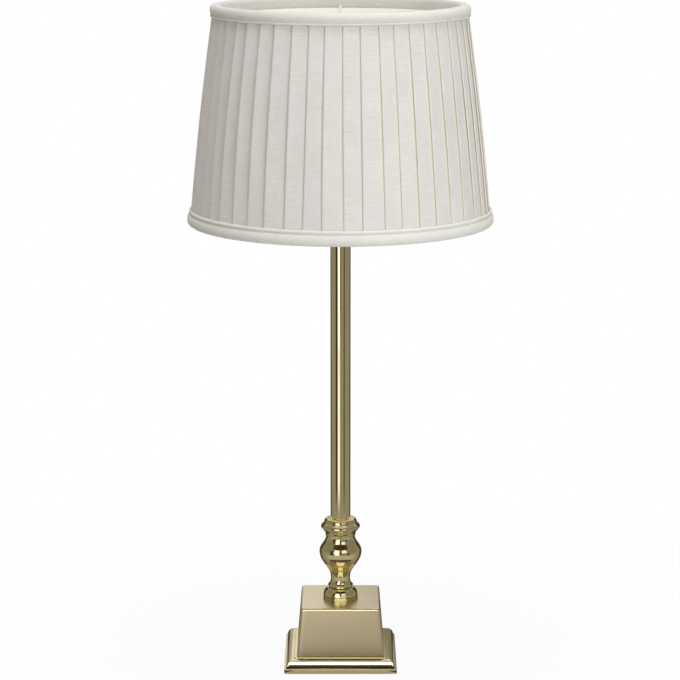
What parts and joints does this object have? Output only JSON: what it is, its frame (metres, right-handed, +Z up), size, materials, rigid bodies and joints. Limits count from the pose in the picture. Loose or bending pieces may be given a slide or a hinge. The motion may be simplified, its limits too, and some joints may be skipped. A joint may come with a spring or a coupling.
{
  "type": "table lamp",
  "caption": "Candlestick table lamp: stepped square base, turned baluster stem, plain tube and a knife-pleated fabric drum shade on a wire frame with a screw-in bulb.",
  "frame": {"origin": "the middle of the felt's underside, on the surface that the lamp stands on", "axes": "+Z up along the column; -Y is the front, and the cord inlet is in the rear face, towards +Y; +X is to the right seen from the front"},
  "size_m": [0.2994, 0.2994, 0.6581],
  "materials": {
    "felt": "dense wool felt",
    "polished_brass": "polished and lacquered",
    "brushed_brass": "fine brushed satin, lacquered",
    "plated_steel": "zinc plated",
    "cast_iron": "as cast",
    "bush_plastic": "moulded, satin",
    "holder_plastic": "moulded, gloss",
    "porcelain": "glazed",
    "contact_brass": "plain rolled",
    "bulb_metal": "rolled thread",
    "bulb_insulation": "moulded",
    "bulb_body": "moulded, satin",
    "opal_globe": "opal",
    "white_wire": "powder coated",
    "pleated_linen": "plain linen weave, knife pleated",
    "lining_cloth": "plain cotton",
    "trim_cloth": "bias-cut linen, folded and glued"
  },
  "bodies": {
    "lamp_base": {"felt_pad": "felt", "foot_moulding": "polished_brass", "stem_foot": "polished_brass", "baluster_vase": "polished_brass", "collar": "polished_brass", "column_tube": "polished_brass", "column_cap": "polished_brass", "plinth_block": "brushed_brass", "base_plate": "plated_steel", "base_screws": "plated_steel", "threaded_rod": "plated_steel", "rod_nut": "plated_steel", "lock_washer": "plated_steel", "flat_washer": "plated_steel", "top_nut": "plated_steel", "holder_grub_screw": "plated_steel", "ballast": "cast_iron", "cord_bush": "bush_plastic", "holder_cap": "holder_plastic", "holder_shell": "holder_plastic", "holder_core": "porcelain", "centre_contact": "contact_brass", "side_contact": "contact_brass", "screw_shell": "contact_brass"},
    "shade": {"fitter_ring": "white_wire", "top_wire_ring": "white_wire", "bottom_wire_ring": "white_wire", "pleated_cover": "pleated_linen", "shade_lining": "lining_cloth", "top_binding": "trim_cloth", "bottom_binding": "trim_cloth", "fitter_arm_1": "white_wire", "fitter_arm_2": "white_wire", "fitter_arm_3": "white_wire", "strut_1": "white_wire", "strut_2": "white_wire", "strut_3": "white_wire", "strut_4": "white_wire", "strut_5": "white_wire", "strut_6": "white_wire"},
    "shade_clamp": {"shade_ring": "holder_plastic"},
    "bulb": {"bulb_tip": "bulb_metal", "bulb_insulator": "bulb_insulation", "bulb_screw_cap": "bulb_metal", "bulb_housing": "bulb_body", "bulb_globe": "opal_globe"}
  },
  "joints": [
    {"name": "shade_swivel", "type": "hinge", "parent": "lamp_base", "child": "shade", "pos_m": [0, 0, 0.518], "axis": [0, 0, 1], "continuous": true},
    {"name": "shade_ring_turn", "type": "hinge", "parent": "lamp_base", "child": "shade_clamp", "pos_m": [0, 0, 0.52], "axis": [0, 0, 1], "range_deg": [0, 1080]},
    {"name": "bulb_lift_out", "type": "slide", "parent": "lamp_base", "child": "bulb", "axis": [0, 0, 1], "range_m": [0, 0.15]}
  ]
}
